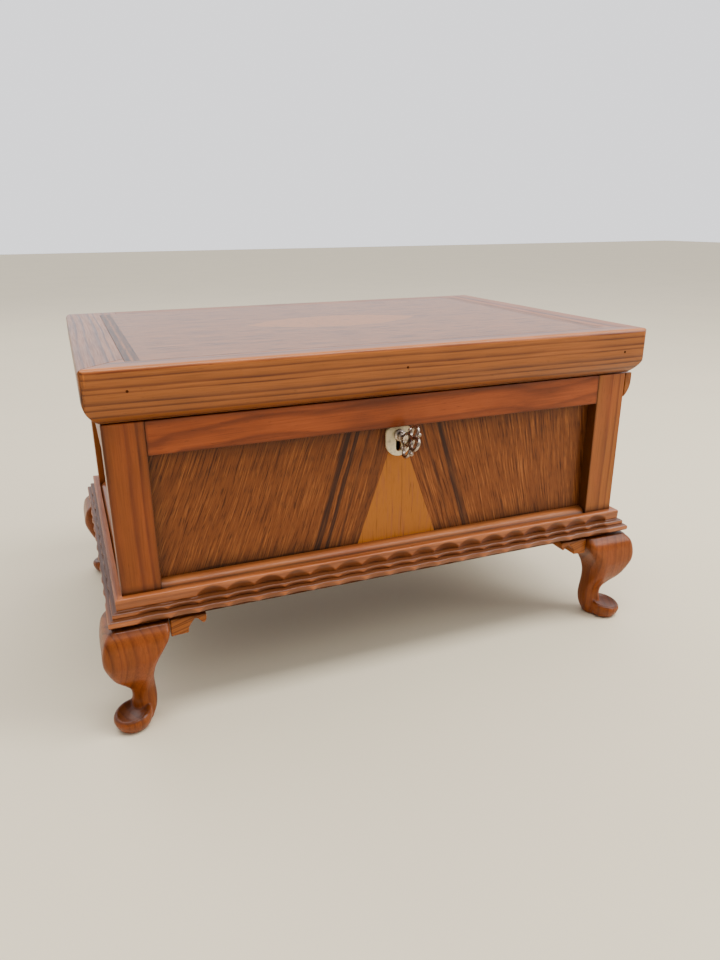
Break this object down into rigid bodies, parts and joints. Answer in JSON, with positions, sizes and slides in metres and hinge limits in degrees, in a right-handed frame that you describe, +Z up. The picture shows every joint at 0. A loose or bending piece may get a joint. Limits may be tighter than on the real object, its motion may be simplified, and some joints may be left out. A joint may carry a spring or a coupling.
{
  "type": "jewelry box",
  "caption": "Footed wooden jewelry box with a hinged overhanging lid, posts round recessed veneered panels, carved base moulding, cabriole legs and a lock worked by its key.",
  "frame": {"origin": "middle of the box's footprint, key and knees included, on the plane that the feet rest on", "axes": "+X to the right along the front, +Y from the front to the back, +Z up"},
  "size_m": [0.3344, 0.2303, 0.1935],
  "materials": {
    "pine_case": "honey-coloured pine under a glossy varnish",
    "pine_red": "reddish stained pine under a glossy varnish",
    "pine_legs": "orange-brown stained pine under a glossy varnish",
    "pine_lid": "honey-coloured pine with dark growth lines, varnished",
    "walnut_veneer": "striped brown veneer, varnished",
    "light_veneer": "golden veneer, varnished",
    "dark_string": "dark double-striped banding veneer, varnished",
    "panel_core": "plain board",
    "ivory": "ivory-coloured, slightly glossy",
    "nickel": "bright nickel-coloured plating",
    "lock_steel": "plain steel",
    "brass": "brass-coloured",
    "felt": "dark red velvet"
  },
  "bodies": {
    "case": {"post_front_left": "pine_case", "post_front_right": "pine_case", "post_back_left": "pine_case", "post_back_right": "pine_case", "bead_front": "pine_case", "bead_left": "pine_case", "bead_right": "pine_case", "side_strip_right": "pine_case", "panel_back": "pine_case", "rail_top_front": "pine_red", "rail_top_back": "pine_red", "rail_top_left": "pine_red", "rail_top_right": "pine_red", "base_moulding_front": "pine_red", "base_moulding_back": "pine_red", "base_moulding_left": "pine_red", "base_moulding_right": "pine_red", "leg_front_left": "pine_legs", "leg_front_right": "pine_legs", "leg_back_left": "pine_legs", "leg_back_right": "pine_legs", "ears_front_left": "pine_legs", "ears_front_right": "pine_legs", "ears_back_left": "pine_legs", "ears_back_right": "pine_legs", "veneer_front_left": "walnut_veneer", "veneer_front_right": "walnut_veneer", "panel_left": "walnut_veneer", "panel_right": "walnut_veneer", "veneer_front_wedge": "light_veneer", "panel_front": "panel_core", "bottom_board": "panel_core", "escutcheon": "ivory", "lock_plate": "lock_steel", "lock_case": "lock_steel", "lock_pins": "lock_steel", "hinge_leaves_case": "brass", "hinge_pins": "brass", "hinge_screws_case": "brass", "lock_screws": "brass", "lining_floor": "felt", "lining_front": "felt", "lining_back": "felt", "lining_left": "felt", "lining_right": "felt"},
    "lid": {"lid_rail_front": "pine_lid", "lid_rail_back": "pine_lid", "lid_rail_left": "pine_lid", "lid_rail_right": "pine_lid", "lid_panel": "panel_core", "lid_veneer_field": "walnut_veneer", "lid_strings": "dark_string", "lid_oval_inlay": "light_veneer", "lid_lining": "felt", "hinge_leaves_lid": "brass", "hinge_screws_lid": "brass", "keeper_plate": "lock_steel", "keeper_screws": "brass"},
    "key": {"key": "nickel"},
    "lock_bolt": {"lock_bolt": "lock_steel"}
  },
  "joints": [
    {"name": "lid_hinge", "type": "hinge", "parent": "case", "child": "lid", "pos_m": [0, 0.10315, 0.1662], "axis": [-1, 0, 0], "range_deg": [0, 102]},
    {"name": "key_turn", "type": "hinge", "parent": "case", "child": "key", "pos_m": [0.003, -0.08735, 0.1423], "axis": [0, -1, 0], "range_deg": [0, 46]},
    {"name": "bolt_throw", "type": "slide", "parent": "case", "child": "lock_bolt", "axis": [-1, 0, 0], "range_m": [0, 0.00672]}
  ],
  "couplings": [
    {"joint": "bolt_throw", "follows": "key_turn", "m_per_rad": 0.0083696}
  ]
}
